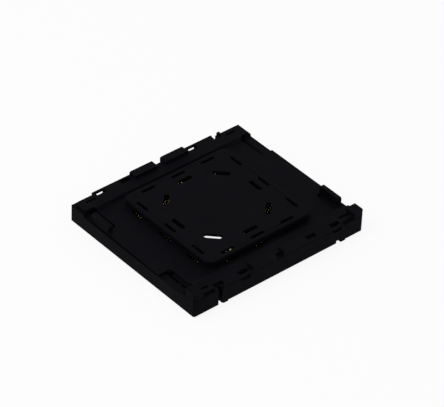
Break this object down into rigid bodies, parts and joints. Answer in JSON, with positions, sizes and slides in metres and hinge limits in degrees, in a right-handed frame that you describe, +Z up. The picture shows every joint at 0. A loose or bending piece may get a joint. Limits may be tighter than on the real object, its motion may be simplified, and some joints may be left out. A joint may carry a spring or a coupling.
{
  "type": "land grid array processor socket with pick-and-place cap",
  "caption": "Flat surface-mount processor socket: black moulded housing with a field of gold leaf contacts, solder balls below and a slotted pick-up cap that lifts off.",
  "frame": {"origin": "centre of the footprint at the board plane, under the stand-off feet", "axes": "+X along the long side, +Y along the short side, +Z up, away from the board"},
  "size_m": [0.0584, 0.051, 0.0073],
  "materials": {
    "housing_plastic": "matte black glass-filled moulded plastic",
    "cap_plastic": "matte black moulded plastic with a fine grain",
    "gold_contact": "gold plated stamped copper alloy",
    "solder": "bright tin silver solder"
  },
  "bodies": {
    "socket": {"housing": "housing_plastic", "contacts_1": "gold_contact", "contacts_2": "gold_contact", "contacts_3": "gold_contact", "contacts_4": "gold_contact", "contacts_5": "gold_contact", "contacts_6": "gold_contact", "contacts_7": "gold_contact", "contacts_8": "gold_contact", "balls_1": "solder", "balls_2": "solder", "balls_3": "solder", "balls_4": "solder", "balls_5": "solder", "balls_6": "solder", "balls_7": "solder", "balls_8": "solder"},
    "cap": {"pick_cap": "cap_plastic"}
  },
  "joints": [
    {"name": "cap_lift", "type": "slide", "parent": "socket", "child": "cap", "axis": [0, 0, 1], "range_m": [0, 0.012]}
  ]
}
